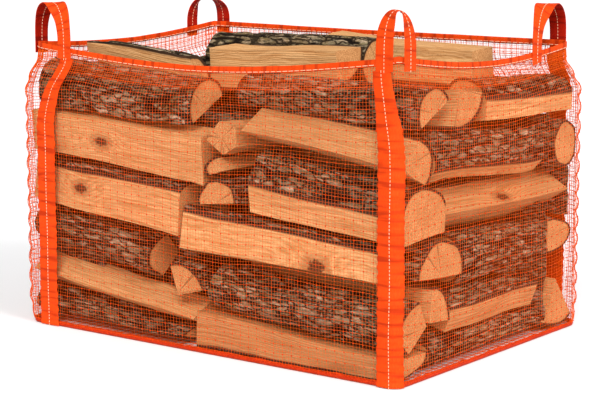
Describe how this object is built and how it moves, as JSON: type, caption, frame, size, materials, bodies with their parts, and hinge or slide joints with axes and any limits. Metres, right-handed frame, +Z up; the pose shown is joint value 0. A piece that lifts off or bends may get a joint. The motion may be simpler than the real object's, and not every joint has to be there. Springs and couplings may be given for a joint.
{
  "type": "net bag of firewood",
  "caption": "Open-topped orange net bag filled with split firewood logs, with a hemmed rim, side straps and webbing carrying loops at its corners.",
  "frame": {"origin": "on the ground under the middle of the bag", "axes": "+X along the bag's long side to the right, -Y out of its long front side, +Z up"},
  "size_m": [0.7178, 0.52, 0.5118],
  "materials": {
    "net": "matt open-weave polypropylene yarn",
    "hem": "matt woven tape, folded and stitched",
    "webbing": "matt woven webbing with pale stitches",
    "bark_log": "rough dry bark with sawn ends",
    "split_log": "dry split wood with some bark"
  },
  "bodies": {
    "root": {"back_left_log_1": "bark_log", "back_left_log_2": "split_log", "back_left_log_3": "bark_log", "back_left_log_4": "split_log", "back_right_log_1": "bark_log", "back_right_log_2": "bark_log", "back_right_log_3": "split_log", "back_right_log_4": "bark_log", "back_right_log_5": "split_log", "corner_log_1": "bark_log", "corner_log_2": "split_log", "front_left_log_1": "bark_log", "front_left_log_2": "split_log", "front_left_log_3": "split_log", "front_left_log_4": "split_log", "front_left_log_5": "split_log", "front_left_log_6": "bark_log", "front_right_log_1": "bark_log", "front_right_log_2": "split_log", "front_right_log_3": "split_log", "front_right_log_4": "split_log", "front_right_log_5": "split_log", "front_right_log_6": "split_log", "gap_log_1": "split_log", "gap_log_2": "split_log", "gap_log_3": "bark_log", "gap_log_4": "split_log", "handle_back": "webbing", "handle_front": "webbing", "handle_left": "webbing", "handle_right": "webbing", "left_side_log_1": "bark_log", "left_side_log_2": "split_log", "left_side_log_3": "bark_log", "left_side_log_4": "split_log", "left_side_log_5": "bark_log", "middle_log_1": "bark_log", "middle_log_2": "bark_log", "middle_log_3": "bark_log", "middle_log_4": "bark_log", "middle_log_5": "bark_log", "net_bag": "net", "right_side_log_1": "split_log", "right_side_log_2": "split_log", "right_side_log_3": "split_log", "right_side_log_4": "bark_log", "right_side_log_5": "split_log", "right_side_log_6": "bark_log", "rim_hem": "hem", "strap_back": "webbing", "strap_front": "webbing", "strap_left": "webbing", "strap_right": "webbing", "top_log_1": "split_log", "top_log_2": "split_log", "top_log_3": "bark_log", "top_log_4": "split_log", "top_log_5": "split_log", "top_log_6": "split_log", "top_log_7": "bark_log"}
  },
  "joints": []
}
